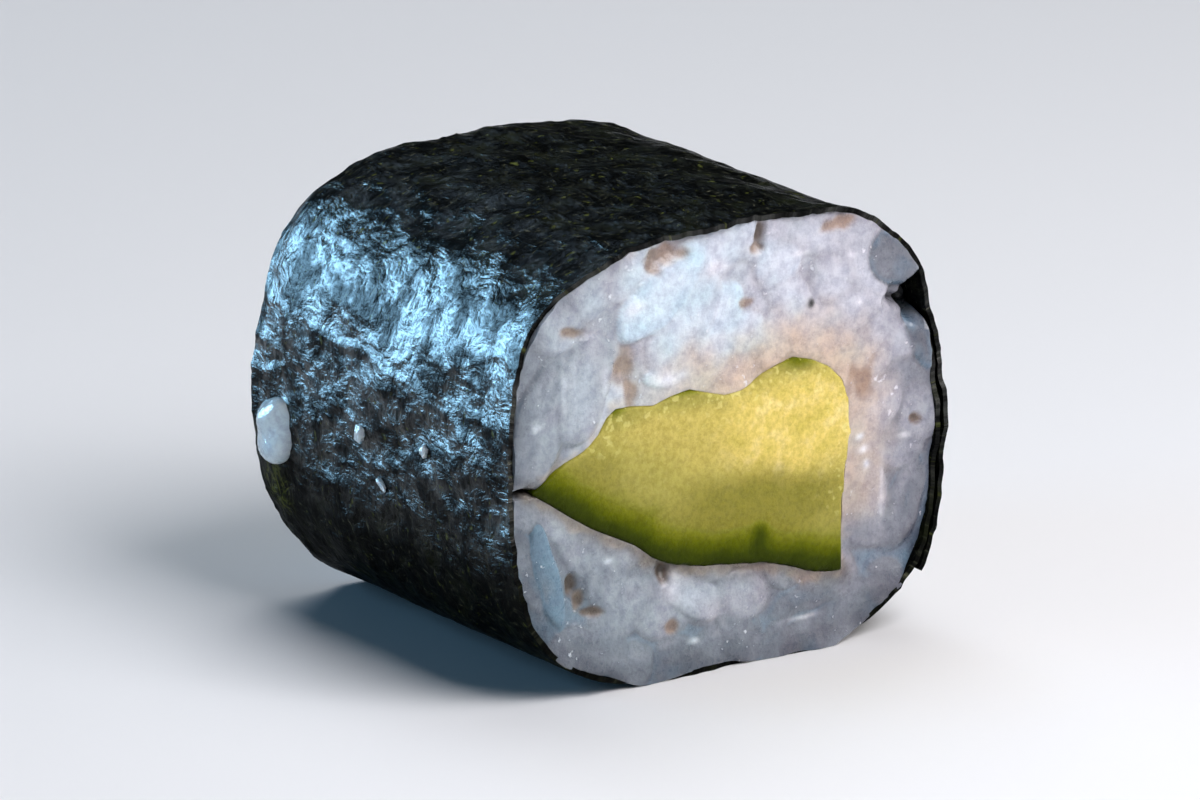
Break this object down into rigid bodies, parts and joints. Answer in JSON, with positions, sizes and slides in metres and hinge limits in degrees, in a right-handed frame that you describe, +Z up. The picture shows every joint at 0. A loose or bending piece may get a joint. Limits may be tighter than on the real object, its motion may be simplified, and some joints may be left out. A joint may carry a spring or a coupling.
{
  "type": "cucumber maki roll",
  "caption": "Cut piece of a thin sushi roll lying on its side: crinkled nori sheet round packed rice grains, with a wedge of cucumber running through the middle.",
  "frame": {"origin": "under the middle of the piece, on the surface that its flattened underside rests on", "axes": "+Z up, +Y along the roll from the front cut face to the back one, +X to the right as seen when facing the front cut face, towards the cucumber's thick end"},
  "size_m": [0.0275, 0.024, 0.0237],
  "materials": {
    "nori": "crinkled dried seaweed sheet, near black green with a soft sheen",
    "rice": "moist, translucent cooked grains with small glossy highlights",
    "cucumber": "wet cut flesh, yellow at the seeds and green towards a dark skin"
  },
  "bodies": {
    "root": {"nori": "nori", "rice": "rice", "cucumber": "cucumber"}
  },
  "joints": []
}
